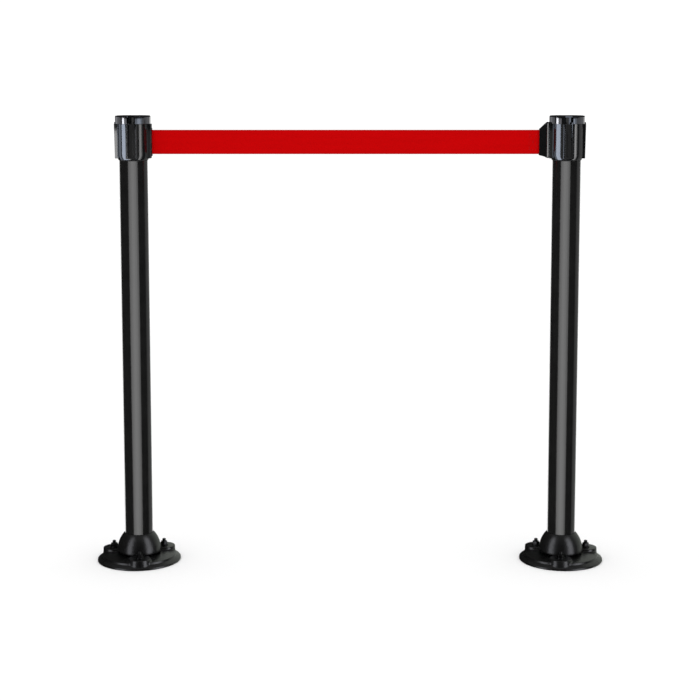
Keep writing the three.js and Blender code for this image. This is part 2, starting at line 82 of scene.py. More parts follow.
TUBE_R, TUBE_WALL = 30.15, 2.0
BASE_R, RIM_H, CROWN_H = 88.9, 3.6, 16.0
STEP_R, STEP_H = 78.0, 13.0
HUB_R, HUB_BORE, HUB_TOP = 27.8, 22.0, 58.0
PAD_R, PAD_CIRCLE, PAD_TOP = 24.0, 62.0, 20.0
PAD_ANGLES = (-90, 30, 150)
BASE_TURN = {"left": 7.6, "right": -7.6}  # each base is bolted down turned towards the middle
COLLAR_R, COLLAR_LOW, COLLAR_TOP, COLLAR_RISE = 46.8, PAD_TOP + GAP, 60.9, 54.3
COLLAR_WALL = 2.2
STUD_R, STUD_TOP, THREAD_PITCH = 4.0, 34.5, 1.25
WASHER_R, WASHER_Z, WASHER_H = 8.5, PAD_TOP + GAP, 1.6
NUT_FLATS, NUT_Z, NUT_H = 13.0, WASHER_Z + WASHER_H + GAP, 6.5
SET_SCREW_R, SET_SCREW_Z, SET_SCREW_ANGLES = 3.3, 36.0, (60, 240)
SET_SCREW_HOLE = (20, 32.2)  # from inside the hub to outside the tube

HEAD_LOW = TOP - 93
CAP_LOW = TOP - 17.2
BODY_TOP = CAP_LOW - GAP
LIP_TOP = TOP - 13.7
FLOOR_TOP = HEAD_LOW + 6
LEDGE = TOP - 24.6
HEAD_R, HEAD_REACH, CAP_R = 33.6, 38.4, 37.2
CAVITY_R, LEDGE_R, ADAPTER_R, ADAPTER_TOP = 26.0, 27.2, 29.3, HEAD_LOW + 2.5
TUBE_TOP = HEAD_LOW - 1
BLOCK_HALF, NUB_HALF = 12.0, 7.9
SLOT_HALF, CHANNEL_HALF, CHANNEL_BACK, CHANNEL_FRONT = 5.2, 7.7, 29.4, 35.2
CHANNEL_FLOOR = FLOOR_TOP + 1
HEAD_SCREWS = ((21, 45), (21, 225))
RECEIVERS = {"left": (-90, 90, 180), "right": (-90, 0, 90, 180)}
OUTLETS = {"left": (0,), "right": ()}

BELT_TOP, BELT_LOW, BELT_T = TOP - 30, TOP - 80.8, 0.8
BELT_MID = (BELT_TOP + BELT_LOW) / 2
ROLL_IN, ROLL_OUT = 10.3, 18.6
OUTLET_FACE = HEAD_REACH + 1.5
END_FACE, END_NOSE, END_PIN = HEAD_REACH + 1.2, 58.5, 48.0
END_BAR = (CHANNEL_FLOOR + GAP, TOP - 21)
END_PIN_R = 1.5
RIDGE_PITCH, RIDGE_REACH, RIDGE_HEIGHT = 4.6, 3.75, 0.45
STRAP_START = 36.4  # from the left post's axis, inside the outlet
STRAP_MOUTH = 6.3  # from the end piece's pin to the end of the single strap
FOLD_END = 84.0  # from the right post's axis, like the next two
STITCHED = (79.5, 63.5)
STITCHED_HALF, STITCH_PITCH, STITCH_R = 16.5, 3.0, 0.17


# ------------------------------------------------------------------ outlines

def polar(radius, degrees):
    """The (x, y) of a point at a distance and an angle from the Z axis."""
    a = math.radians(degrees)
    return radius * math.cos(a), radius * math.sin(a)


def rounded(corners, steps):
    """A closed outline from (x, y, radius) corners, each corner turned into an arc of so many steps."""
    out = []
    count = len(corners)
    for i, (x, y, radius) in enumerate(corners):
        here = np.array((x, y), float)
        if radius <= 0:
            out.append(here)
            continue
        before = np.array(corners[i - 1][:2], float) - here
        after = np.array(corners[(i + 1) % count][:2], float) - here
        before /= np.linalg.norm(before)
        after /= np.linalg.norm(after)
        half = math.acos(np.clip(before @ after, -1, 1)) / 2
        reach = radius / math.tan(half)
        middle = before + after
        centre = here + middle / np.linalg.norm(middle) * radius / math.sin(half)
        start, end = here + before * reach - centre, here + after * reach - centre
        a0, a1 = math.atan2(start[1], start[0]), math.atan2(end[1], end[0])
        turn = (a1 - a0 + math.pi) % (2 * math.pi) - math.pi
        for k in range(steps + 1):
            a = a0 + turn * k / steps
            out.append(centre + radius * np.array((math.cos(a), math.sin(a))))
    return np.array(out)


def inset(outline, distance):
    """The outline moved inwards, for a counter-clockwise outline with small corners."""
    ahead = np.roll(outline, -1, 0) - outline
    behind = outline - np.roll(outline, 1, 0)
    ahead /= np.linalg.norm(ahead, axis=1)[:, None]
    behind /= np.linalg.norm(behind, axis=1)[:, None]
    normal = np.stack((-(ahead + behind)[:, 1], (ahead + behind)[:, 0]), 1)
    normal /= np.linalg.norm(normal, axis=1)[:, None]
    return outline + normal * distance


def mirrored(side):
    """One side's (x, y, radius) corners, followed by the same corners across the X axis."""
    return side + [(x, -y, radius) for x, y, radius in side[::-1]]


def rectangle(x0, x1, y0, y1, radius=0.0):
    corners = ((x0, y0), (x1, y0), (x1, y1), (x0, y1))
    return rounded([(x, y, radius) for x, y in corners], 5)


# ------------------------------------------------------------------ meshes

def make(name, points, faces):
    """An object from points in millimetres; its normals are set to face out."""
    mesh = bpy.data.meshes.new(name)
    mesh.from_pydata([tuple(p * MM) for p in np.asarray(points, float)], [], faces)
    mesh.validate()
    obj = bpy.data.objects.new(name, mesh)
    bpy.context.scene.collection.objects.link(obj)
    face_out(obj)
    return obj


def face_out(obj):
    """Flips an object's faces if they enclose a negative volume."""
    mesh = obj.data
    mesh.calc_loop_triangles()
    co = np.array([v.co for v in mesh.vertices])
    tri = np.array([t.vertices for t in mesh.loop_triangles])
    a, b, c = co[tri[:, 0]], co[tri[:, 1]], co[tri[:, 2]]
    if np.einsum("ij,ij->i", a, np.cross(b, c)).sum() < 0:
        mesh.flip_normals()


def circle(count):
    """Cosines and sines of equal steps round a circle."""
    angles = np.arange(count) * 2 * math.pi / count
    return np.cos(angles), np.sin(angles)


def rings(name, layers, loop=False):
    """A skin over closed layers of equal point counts, capped at both ends unless it loops round."""
    count = len(layers[0])
    points = np.concatenate(layers)
    faces = []
    spans = len(layers) if loop else len(layers) - 1
    for k in range(spans):
        a, b = k * count, ((k + 1) % len(layers)) * count
        for i in range(count):
            j = (i + 1) % count
            faces.append((a + i, a + j, b + j, b + i))
    if not loop:
        faces.append(tuple(range(count))[::-1])
        faces.append(tuple(range(len(points) - count, len(points))))
    return make(name, points, faces)


def lathe(name, profile, count):
    """A profile of (radius, height) turned about Z. It starts and ends on the axis or closes on itself."""
    profile = np.asarray(profile, float)
    cs, sn = circle(count)
    layers = [np.stack((r * cs, r * sn, np.full(count, z)), 1) for r, z in profile]
    if profile[0][0] > 1e-6:
        return rings(name, layers, loop=True)
    inner = layers[1:-1]
    points = np.concatenate(inner + [[[0, 0, profile[0][1]], [0, 0, profile[-1][1]]]])
    faces = []
    for k in range(len(inner) - 1):
        for i in range(count):
            j = (i + 1) % count
            faces.append((k * count + i, k * count + j, (k + 1) * count + j, (k + 1) * count + i))
    first, last, top = len(points) - 2, len(points) - 1, (len(inner) - 1) * count
    for i in range(count):
        j = (i + 1) % count
        faces.append((first, j, i))
        faces.append((last, top + i, top + j))
    return make(name, points, faces)


def prism(name, outline, low, high, edge=0.0):
    """An outline raised from low to high; with an edge radius, its rims are rounded."""
    levels = [(low, 0), (high, 0)]
    if edge:
        steps = 4
        quarter = [math.pi / 2 * k / steps for k in range(steps, -1, -1)]
        levels = [(low + edge * (1 - math.sin(a)), edge * (1 - math.cos(a))) for a in quarter]
        levels += [(low + high - z, d) for z, d in levels[::-1]]
    layers = []
    for z, d in levels:
        flat = inset(outline, d) if d else outline
        layers.append(np.column_stack((flat, np.full(len(flat), z))))
    return rings(name, layers)


def mapped(obj, change):
    """Moves every point of an object by a function of its millimetre coordinates."""
    co = np.array([v.co for v in obj.data.vertices]) / MM
    co = change(co) * MM
    obj.data.vertices.foreach_set("co", co.ravel())
    obj.data.update()
    face_out(obj)
    return obj


def aimed(obj, degrees):
    """Turns an object about the Z axis."""
    c, s = polar(1, degrees)

    def turn(p):
        x, y, z = p.T
        return np.column_stack((x * c - y * s, x * s + y * c, z))

    return mapped(obj, turn)


def moved(obj, x=0.0, y=0.0, z=0.0):
    return mapped(obj, lambda p: p + (x, y, z))


def box_solid(x0, x1, y0, y1, z0, z1, radius=0.0, edge=0.0):
    return prism("block", rectangle(x0, x1, y0, y1, radius), z0, z1, edge)


def disc(radius, low, high, count=96):
    return lathe("disc", [(0, low), (radius, low), (radius, high), (0, high)], count)


def combine(obj, others, operation):
    """Joins, cuts or crosses solids; the others are used up."""
    for other in others:
        mod = obj.modifiers.new("solid", "BOOLEAN")
        mod.operation = operation
        mod.solver = "MANIFOLD"
        mod.object = other
        graph = bpy.context.evaluated_depsgraph_get()
        mesh = bpy.data.meshes.new_from_object(obj.evaluated_get(graph))
        obj.modifiers.clear()
        old = obj.data
        obj.data = mesh
        bpy.data.meshes.remove(old)
        bpy.data.objects.remove(other)
    return obj


def finished(obj, name, hold, slot, nodes=(), angle=35):
    """Names a piece, gives it its material and its body, and hides the CAD nodes it stands for.

    hold is a body's name, or a function that is called on the piece in place of attaching it.
    """
    obj.name = name
    obj.data.name = name
    obj.data.materials.clear()
    obj.data.materials.append(MATERIALS[slot])
    obj.data.shade_smooth()
    obj.data.set_sharp_from_angle(angle=math.radians(angle))
    if callable(hold):
        hold(obj)
    else:
        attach(obj, hold)
    if nodes:
        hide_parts(*nodes)
    return obj


def copied(obj):
    """A second object with its own mesh."""
    twin = obj.copy()
    twin.data = obj.data.copy()
    bpy.context.scene.collection.objects.link(twin)
    return twin


# ------------------------------------------------------------------ materials

class Graph:
    """A material's nodes, built round its Principled shader."""

    def __init__(self, name):
        self.material = bpy.data.materials.new(name)
        self.material.use_nodes = True
        self.nodes = self.material.node_tree.nodes
        self.links = self.material.node_tree.links
        self.shader = self.nodes["Principled BSDF"]
        self.place = self.add("ShaderNodeTexCoord").outputs["Object"]

    def add(self, kind, inputs=None, **settings):
        node = self.nodes.new(kind)
        for key, value in settings.items():
            setattr(node, key, value)
        for key, value in (inputs or {}).items():
            self.feed(node.inputs[key], value)
        return node

    def feed(self, socket, value):
        if isinstance(value, bpy.types.NodeSocket):
            self.links.new(value, socket)
        else:
            socket.default_value = value

    def scaled(self, x, y, z):
        node = self.add("ShaderNodeMapping", {"Vector": self.place, "Scale": (x, y, z)})
        return node.outputs["Vector"]

    def noise(self, scale, detail=4.0, rough=0.55, place=None):
        inputs = {"Vector": place or self.place, "Scale": scale, "Detail": detail, "Roughness": rough}
        return self.add("ShaderNodeTexNoise", inputs).outputs["Fac"]

    def ramp(self, value, stops):
        node = self.add("ShaderNodeValToRGB", {"Fac": value})
        band = node.color_ramp
        band.elements[0].position, band.elements[1].position = stops[0][0], stops[-1][0]
        band.elements[0].color, band.elements[1].color = stops[0][1], stops[-1][1]
        for position, colour in stops[1:-1]:
            band.elements.new(position).color = colour
        return node.outputs["Color"]

    def span(self, value, low, high, source=(0.0, 1.0)):
        inputs = {"Value": value, "From Min": source[0], "From Max": source[1], "To Min": low, "To Max": high}
        return self.add("ShaderNodeMapRange", inputs).outputs["Result"]

    def math(self, operation, a, b=0.0):
        node = self.add("ShaderNodeMath", operation=operation)
        self.feed(node.inputs[0], a)
        self.feed(node.inputs[1], b)
        return node.outputs[0]

    def bump(self, height, distance, strength=1.0, normal=None):
        inputs = {"Height": height, "Distance": distance, "Strength": strength}
        if normal is not None:
            inputs["Normal"] = normal
        return self.add("ShaderNodeBump", inputs).outputs["Normal"]

    def shade(self, **inputs):
        for key, value in inputs.items():
            self.feed(self.shader.inputs[key.replace("_", " ")], value)
        return self.material


def grey(value, blue=1.0):
    """A grey as linear RGBA; blue above 1 cools it."""
    return (value, value * (1 + (blue - 1) / 2), value * blue, 1.0)


def coated(name, dark, light, rough, peel, peel_size, cast=0.0):
    """Black paint or powder coat: an orange-peel skin, and a cast surface's slow waves under it."""
    g = Graph(name)
    cloud = g.noise(38.0, 5.0, 0.6)
    skin = g.noise(peel_size, 2.0, 0.5)
    colour = g.ramp(cloud, [(0.3, grey(dark)), (0.75, grey(light))])
    fine = g.noise(2600.0, 2.0, 0.6)
    blend = g.math("ADD", g.math("MULTIPLY", cloud, 0.6), g.math("MULTIPLY", fine, 0.4))
    roughness = g.span(blend, rough[0], rough[1], (0.3, 0.7))
    normal = None
    if cast:
        normal = g.bump(g.noise(95.0, 3.0, 0.5), cast)
    normal = g.bump(skin, peel, 1.0, normal)
    return g.shade(Base_Color=colour, Roughness=roughness, Normal=normal)


def moulded(name, base, rough, grain, grain_size, blue=1.05):
    """Moulded plastic: nearly even colour, with a faint grain and hair scratches from handling."""
    g = Graph(name)
    cloud = g.noise(55.0, 4.0, 0.6)
    colour = g.ramp(cloud, [(0.3, grey(base * 0.8, blue)), (0.8, grey(base * 1.35, blue))])
    streak = g.noise(60.0, 3.0, 0.7, g.scaled(1.0, 1.0, 26.0))
    roughness = g.span(streak, rough[0], rough[1], (0.35, 0.72))
    normal = g.bump(g.noise(grain_size, 2.0, 0.5), grain)
    return g.shade(Base_Color=colour, Roughness=roughness, Normal=normal)


def plated(name, dark, light, rough, blue=1.0):
    """Zinc-plated or rolled steel: metal with faint tool marks and dull patches."""
    g = Graph(name)
    cloud = g.noise(240.0, 4.0, 0.6)
    marks = g.noise(300.0, 3.0, 0.7, g.scaled(1.0, 1.0, 14.0))
    colour = g.ramp(cloud, [(0.3, grey(dark, blue)), (0.75, grey(light, blue))])
    roughness = g.span(marks, rough[0], rough[1], (0.35, 0.7))
    return g.shade(Base_Color=colour, Roughness=roughness, Metallic=1.0, Normal=g.bump(marks, 0.00002))


def webbing():
    """Red polyester webbing: lengthwise cords crossed by fine picks, a dark line and a dark edge."""
    g = Graph("red_webbing")
    axes = g.add("ShaderNodeSeparateXYZ", {"Vector": g.place}).outputs
    along, across = axes["X"], axes["Z"]
    cord_pitch, pick_pitch = 0.00159, 0.0011
    cord = g.math("SINE", g.math("MULTIPLY", across, 2 * math.pi / cord_pitch))
    slant = g.math("MULTIPLY", along, 2 * math.pi / pick_pitch)
    half_step = g.math("MULTIPLY", g.math("SIGN", cord), math.pi / 2)
    pick = g.math("SINE", g.math("ADD", slant, half_step))
    weave = g.math("ADD", g.math("MULTIPLY", pick, 0.5), g.math("MULTIPLY", cord, 0.5))
    fibre = g.noise(900.0, 4.0, 0.7, g.scaled(0.35, 1.0, 2.6))
    long_tone = g.noise(14.0, 3.0, 0.6, g.scaled(0.4, 1.0, 5.0))
    tone = g.math("ADD", g.math("MULTIPLY", weave, 0.16), g.math("MULTIPLY", fibre, 0.5))
    tone = g.math("ADD", tone, g.math("MULTIPLY", long_tone, 0.35))
    body = g.ramp(tone, [
        (0.15, (0.44, 0.0, 0.0004, 1)),
        (0.45, (0.56, 0.0, 0.0008, 1)),
        (0.75, (0.62, 0.0, 0.0012, 1)),
    ])
    from_middle = g.math("ABSOLUTE", g.math("SUBTRACT", across, BELT_MID * MM))
    edge = g.span(from_middle, 0.0, 1.0, (0.0243, 0.0249))
    line = g.span(from_middle, 0.0, 0.5, (0.0226, 0.0230))
    line_end = g.span(from_middle, 0.0, 0.5, (0.0234, 0.0238))
    shade = g.math("ADD", edge, g.math("SUBTRACT", line, line_end))
    mix = g.add("ShaderNodeMix", data_type="RGBA")
    g.feed(mix.inputs[0], shade)
    g.feed(mix.inputs[6], body)
    g.feed(mix.inputs[7], (0.29, 0.0, 0.0004, 1))
    height = g.math("ADD", weave, g.math("MULTIPLY", fibre, 1.2))
    normal = g.bump(height, 0.00012, 0.9)
    g.shade(Base_Color=mix.outputs[2], Roughness=g.span(fibre, 0.6, 0.82), Normal=normal)
    g.shade(Specular_IOR_Level=0.03)
    return g.material


def thread():
    """Sewing thread, a little darker than the belt, twisted."""
    g = Graph("red_thread")
    twist = g.noise(2400.0, 2.0, 0.5, g.scaled(1.0, 1.0, 0.4))
    colour = g.ramp(twist, [(0.3, (0.20, 0.0, 0.0004, 1)), (0.8, (0.36, 0.001, 0.002, 1))])
    return g.shade(Base_Color=colour, Roughness=g.span(twist, 0.45, 0.65), Normal=g.bump(twist, 0.00008))


MATERIALS = {
    "cast_black": coated("cast_black", 0.003, 0.006, (0.24, 0.36), 0.00006, 520.0, 0.0003),
    "tube_black": coated("tube_black", 0.0065, 0.0095, (0.10, 0.16), 0.000016, 700.0),
    "head_plastic": moulded("head_plastic", 0.0045, (0.09, 0.17), 0.00001, 1500.0, 1.15),
    "cap_plastic": moulded("cap_plastic", 0.0045, (0.045, 0.09), 0.000004, 1500.0, 1.2),
    "inner_plastic": moulded("inner_plastic", 0.10, (0.45, 0.6), 0.00004, 900.0),
    "dark_zinc": plated("dark_zinc", 0.03, 0.075, (0.26, 0.42)),
    "bright_steel": plated("bright_steel", 0.45, 0.62, (0.22, 0.38)),
    "spring_steel": plated("spring_steel", 0.25, 0.42, (0.2, 0.34), 1.15),
    "red_webbing": webbing(),
}
THREAD = thread()


# ------------------------------------------------------------------ base

PLATE = rounded([
    (HUB_BORE, 0, 0),
    (BASE_R - 1, 0, 0),
    (BASE_R, 1, 0),
    (BASE_R, RIM_H + 0.5, 1.5),
    (STEP_R + 3.0, STEP_H - 5.0, 2.5),
    (STEP_R + 0.9, STEP_H - 4.1, 0.8),
    (STEP_R + 0.3, STEP_H - 0.1, 1.0),
    (STEP_R - 14, STEP_H + 1.3, 20),
    (COLLAR_R + 2.2, CROWN_H - 0.5, 6),
    (COLLAR_R - 2, CROWN_H - 0.1, 0),
    (HUB_R, CROWN_H - 0.1, 0),
    (HUB_R, HUB_TOP - 2, 0),
    (HUB_R - 2, HUB_TOP, 0),
    (HUB_BORE, HUB_TOP, 0),
], 5)


def plate_height(radius):
    """Height of the flange's top surface at a distance from the post axis."""
    top = [p for p in PLATE if COLLAR_R - 2 <= p[0] <= BASE_R and p[1] > 1.5]
    top = sorted(top, key=lambda p: p[0])
    return np.interp(radius, [p[0] for p in top], [p[1] for p in top])


def pad():
    """One bolted pad: a flat round top, a rounded rim, and a fillet that runs out on the flange."""
    count, steps = 144, 6
    fillet, rim = 2.6, 1.7
    cs, sn = circle(count)
    layers = []

    def layer(radius, height):
        layers.append(np.stack((PAD_CIRCLE + radius * cs, radius * sn, height), 1))

    def ground(radius):
        return plate_height(np.hypot(PAD_CIRCLE + radius * cs, radius * sn))

    layer(PAD_R * 0.6, np.full(count, 1.0))
    layer(PAD_R + 2.0, ground(PAD_R + fillet) - 1.2)
    quarter = [math.pi / 2 * k / steps for k in range(steps + 1)]
    for a in quarter:
        radius = PAD_R + fillet * (1 - math.sin(a))
        layer(radius, ground(radius) + fillet * (1 - math.cos(a)) - 0.02)
    for a in quarter:
        height = PAD_TOP - rim * (1 - math.sin(a))
        layer(PAD_R - 0.4 - rim * (1 - math.cos(a)), np.full(count, height))
    layer(STUD_R + 2.0, np.full(count, PAD_TOP))
    return rings("pad", layers)


def base_flange():
    """The cast plate with its three pads, its hub and the holes for the anchors and set screws."""
    facets = 288
    plate = lathe("flange", PLATE, facets)
    plate = combine(plate, [aimed(pad(), a) for a in PAD_ANGLES], "UNION")
    plate = combine(plate, [disc(BASE_R - 0.01, -1, 70, facets)], "INTERSECT")
    holes = []
    for a in PAD_ANGLES:
        x, y = polar(PAD_CIRCLE, a)
        holes.append(moved(disc(STUD_R + 1, -1, PAD_TOP + 1, 48), x, y))
    return combine(plate, holes + set_screw_holes(), "DIFFERENCE")


def set_screw_holes():
    """Level holes through the hub and the tube, for cutting."""
    holes = []
    for a in SET_SCREW_ANGLES:
        hole = disc(SET_SCREW_R, *SET_SCREW_HOLE, 32)
        mapped(hole, lambda p: np.column_stack((p[:, 2], p[:, 1], p[:, 0] + SET_SCREW_Z)))
        holes.append(aimed(hole, a))
    return holes


def collar_radius(height, shrink=0.0):
    """The bell's radius at a height: an ellipse's quarter, drawn in by the wall for its inside."""
    share = min((height - COLLAR_LOW) / (COLLAR_RISE - shrink), 1)
    return (COLLAR_R - shrink) * math.sqrt(1 - share * share)


def base_collar():
    """The bell over the joint of tube and flange, with a rolled foot and a small lip at the top."""
    steps = 28
    rise = COLLAR_TOP - COLLAR_LOW
    heights = [COLLAR_LOW + rise * math.sin(k / steps * math.pi / 2) for k in range(steps + 1)]
    bore = TUBE_R + GAP
    foot = [
        (COLLAR_R - 0.7, COLLAR_LOW),
        (COLLAR_R - 0.2, COLLAR_LOW + 0.2),
        (COLLAR_R - 0.04, COLLAR_LOW + 0.7),
    ]
    outside = [(collar_radius(z), z) for z in heights[2:-1]]
    edge = collar_radius(heights[-1])
    lip = [
        (edge - 0.05, heights[-1] - 0.25),
        (edge - 0.35, heights[-1]),
        (bore + 0.2, heights[-1]),
        (bore, heights[-1] - 0.3),
    ]
    inside = [(max(collar_radius(z, COLLAR_WALL), bore), z) for z in heights[::-1]]
    inside = [p for p in inside if p[1] < heights[-1] - 0.4 and p[0] > bore]
    return lathe("collar", foot + outside + lip + inside, 256)


def post_tube():
    r, inner, low, high = TUBE_R, TUBE_R - TUBE_WALL, CROWN_H + GAP, TUBE_TOP
    corners = [(inner, low, 0.4), (r, low, 0.4), (r, high, 0.4), (inner, high, 0.4)]
    tube = lathe("tube", rounded(corners, 3), 256)
    return combine(tube, set_screw_holes(), "DIFFERENCE")


def anchor_stud():
    """A bolt end with a real thread cut round it and a chamfered tip."""
    count, thread_depth, tip = 48, 0.62, 1.1
    angles = np.arange(count) * 2 * math.pi / count
    heights = [GAP, PAD_TOP] + list(np.arange(PAD_TOP + 0.2, STUD_TOP + 1e-6, THREAD_PITCH / 8))
    layers = []
    for z in heights:
        phase = (z / THREAD_PITCH - angles / (2 * math.pi)) % 1
        depth = thread_depth * np.abs(phase * 2 - 1) ** 1.2 if z > PAD_TOP else np.zeros(count)
        radius = STUD_R - depth
        radius = np.minimum(radius, STUD_R - 0.1 - max(0.0, z - (STUD_TOP - tip)))
        layers.append(np.stack((radius * np.cos(angles), radius * np.sin(angles), np.full(count, z)), 1))
    return rings("stud", layers)


def anchor_washer():
    low, high = WASHER_Z, WASHER_Z + WASHER_H
    inner = STUD_R + GAP
    corners = [(inner, low, 0.1), (WASHER_R, low, 0.2), (WASHER_R, high, 0.5), (inner, high, 0.25)]
    return lathe("washer", rounded(corners, 4), 96)


def anchor_nut():
    """A hexagon nut, its corners turned down at both ends and its bore countersunk."""
    corner = NUT_FLATS / 2 / math.cos(math.pi / 6)
    hexagon = rounded([(*polar(corner, 60 * k), 0.35) for k in range(6)], 4)
    body = prism("nut", hexagon, NUT_Z, NUT_Z + NUT_H)
    low, high, out = NUT_Z - 0.01, NUT_Z + NUT_H + 0.01, corner + 1
    slope = 0.55
    crown = lathe("crown", [
        (0, low),
        (corner - 0.9, low),
        (out, low + (out - corner + 0.9) * slope),
        (out, high - (out - corner + 1.0) * slope),
        (corner - 1.0, high),
        (0, high),
    ], 96)
    inner = STUD_R + GAP
    bore = lathe("bore", [
        (0, NUT_Z - 1),
        (inner + 1.5, NUT_Z - 1),
        (inner, NUT_Z + 0.5),
        (inner, NUT_Z + NUT_H - 0.5),
        (inner + 1.5, NUT_Z + NUT_H + 1),
        (0, NUT_Z + NUT_H + 1),
    ], 64)
    return combine(combine(body, [crown], "INTERSECT"), [bore], "DIFFERENCE")


# ------------------------------------------------------------------ head

def receiver_block():
    """The block that a receiver is cut into: drafted sides, and a groove down each side of its face."""
    reach = HEAD_REACH
    right = [
        (24, -BLOCK_HALF, 0),
        (reach, -BLOCK_HALF + 0.9, 0.4),
        (reach, -10.3, 0.15),
        (reach - 0.7, -9.9, 0.2),
        (reach - 0.7, -9.1, 0.2),
        (reach, -8.7, 0.15),
    ]
    low = HEAD_LOW + 3.5
    block = prism("block", rounded(mirrored(right), 4), low, BODY_TOP, 0.5)
    foot, step_back, inner = 5.0, 1.3, 34  # the face curves back over its lowest few millimetres

    def cut_back(p):
        lean = np.clip((low + foot - p[:, 2]) / foot, 0, 1) ** 2 * step_back
        p[:, 0] = np.where(p[:, 0] > inner, p[:, 0] - lean, p[:, 0])
        return p

    return mapped(block, cut_back)


def receiver_space(high):
    """The T-shaped room of a receiver, its mouth flared."""
    side = [
        (CHANNEL_BACK, -CHANNEL_HALF, 0.7),
        (CHANNEL_FRONT, -CHANNEL_HALF, 0.5),
        (CHANNEL_FRONT, -SLOT_HALF, 0.4),
        (HEAD_REACH - 0.8, -SLOT_HALF, 0.6),
        (HEAD_REACH + 0.3, -SLOT_HALF - 1.1, 0.3),
        (HEAD_REACH + 4, -SLOT_HALF - 1.1, 0),
    ]
    return prism("space", rounded(mirrored(side), 4), CHANNEL_FLOOR, high)


def receiver_lip():
    """The short wall that stands up beside a receiver's slot, into the cap's notch."""
    return box_solid(CHANNEL_FRONT, HEAD_REACH, -NUB_HALF, NUB_HALF, BODY_TOP - 2, LIP_TOP, 0.5, 0.4)


def head_body(side):
    """The moulded head: a round shell with a block for each receiver and outlet."""
    taper = [
        (0, HEAD_LOW),
        (30.4, HEAD_LOW),
        (31.0, HEAD_LOW + 0.35),
        (31.6, HEAD_LOW + 1.6),
        (32.4, HEAD_LOW + 3.8),
        (33.1, HEAD_LOW + 6.4),
        (33.5, HEAD_LOW + 8.6),
        (HEAD_R, HEAD_LOW + 10.5),
        (HEAD_R, BODY_TOP),
        (0, BODY_TOP),
    ]
    body = lathe("head", taper, 256)
    receivers, outlets = RECEIVERS[side], OUTLETS[side]
    blocks = [aimed(receiver_block(), a) for a in receivers + outlets]
    lips = [aimed(receiver_lip(), a) for a in receivers]
    body = combine(body, blocks + lips, "UNION")
    cuts = [
        disc(CAVITY_R, FLOOR_TOP, TOP, 128),
        disc(LEDGE_R, LEDGE, TOP, 128),
        disc(15, HEAD_LOW - 1, FLOOR_TOP + 1),
        disc(ADAPTER_R + GAP, HEAD_LOW - 1, ADAPTER_TOP + GAP, 128),
    ]
    for radius, angle in HEAD_SCREWS:
        x, y = polar(radius, angle)
        cuts.append(moved(disc(2.2, HEAD_LOW, FLOOR_TOP + 1, 32), x, y))
        cuts.append(moved(disc(3.7, FLOOR_TOP - 2, FLOOR_TOP + 1, 32), x, y))
    cuts += [aimed(receiver_space(TOP), a) for a in receivers]
    low, high = BELT_LOW - 2.5, BELT_TOP + 2.5
    for a in outlets:
        cuts.append(aimed(box_solid(20, 31.5, -6.8, 6.8, low, high), a))
        cuts.append(aimed(box_solid(31, 42, -5, 5, low, high), a))
    return combine(body, cuts, "DIFFERENCE")


def head_cap(side):
    """The cap: a boss for its screw, a skirt, a ring that centres it, and a notch over each receiver."""
    under, seat, round_r = TOP - 3.5, TOP - 6, 2.6
    middle = (CAP_R - round_r, TOP - round_r)
    turn = np.linspace(math.pi / 2, 0, 9)
    rim = [(middle[0] + round_r * math.sin(a), middle[1] + round_r * math.cos(a)) for a in turn]
    profile = [
        (0, seat - 12.7),
        (8, seat - 12.7),
        (8, under),
        (24.2, under),
        (24.2, LEDGE + 3.6),
        (26.8, LEDGE + 3.6),
        (26.8, under),
        (CAP_R - 2.4, under),
        (CAP_R - 2.4, CAP_LOW),
        (CAP_R - 0.35, CAP_LOW),
        (CAP_R, CAP_LOW + 0.35),
        *rim,
        (27.2, TOP),
        (26.9, TOP - 0.1),
        (26.6, TOP - 0.5),
        (25.4, TOP - 0.5),
        (25.1, TOP - 0.1),
        (24.8, TOP),
        (0, TOP),
    ]
    cap = lathe("cap", profile, 256)
    cuts = [disc(2.8, seat - 14, TOP, 48), disc(6.5, seat, TOP + 1, 96)]
    wide = NUB_HALF + GAP
    notch = [
        (28.2, -wide, 1.2),
        (CAP_R - 1.1, -wide, 0.9),
        (CAP_R + 0.4, -wide - 1.0, 0.3),
        (CAP_R + 4, -wide - 1.0, 0),
    ]
    outline = rounded(mirrored(notch), 5)
    for a in RECEIVERS[side]:
        cuts.append(aimed(prism("notch", outline, LEDGE, TOP + 1), a))
    return combine(cap, cuts, "DIFFERENCE")


def cap_plug():
    """The dished plug over the cap's screw."""
    return lathe("plug", [
        (0, TOP - 2.6),
        (6.2, TOP - 2.6),
        (6.2, TOP - 0.8),
        (6.05, TOP - 0.35),
        (5.6, TOP - 0.05),
        (5.2, TOP),
        (3.6, TOP),
        (3.3, TOP - 0.25),
        (0, TOP - 0.3),
    ], 96)


def outlet_bezel():
    """The frame that the belt comes out of: a rounded plate on a guide with a flared mouth."""
    low, high = BELT_LOW - 2, BELT_TOP + 2

    def upright(p):
        return np.column_stack((p[:, 2], p[:, 0], p[:, 1]))

    face = prism("face", rectangle(-6.5, 6.5, low - 2, high + 2, 1.6), HEAD_REACH + GAP, OUTLET_FACE, 0.35)
    face = mapped(face, upright)
    guide = mapped(prism("guide", rectangle(-4.7, 4.7, low, high, 0.6), 31.8, OUTLET_FACE - 0.4), upright)
    mouth = prism("mouth", rounded([
        (30, 5, 0),
        (30, -5, 0),
        (35, -1.6, 2),
        (OUTLET_FACE - 0.9, -1.6, 0.8),
        (OUTLET_FACE + 0.4, -2.8, 0),
        (OUTLET_FACE + 0.4, 2.8, 0),
        (OUTLET_FACE - 0.9, 1.6, 0.8),
        (35, 1.6, 2),
    ], 5), BELT_LOW - 0.8, BELT_TOP + 0.8)
    return combine(combine(face, [guide], "UNION"), [mouth], "DIFFERENCE")


# ------------------------------------------------------------------ belt

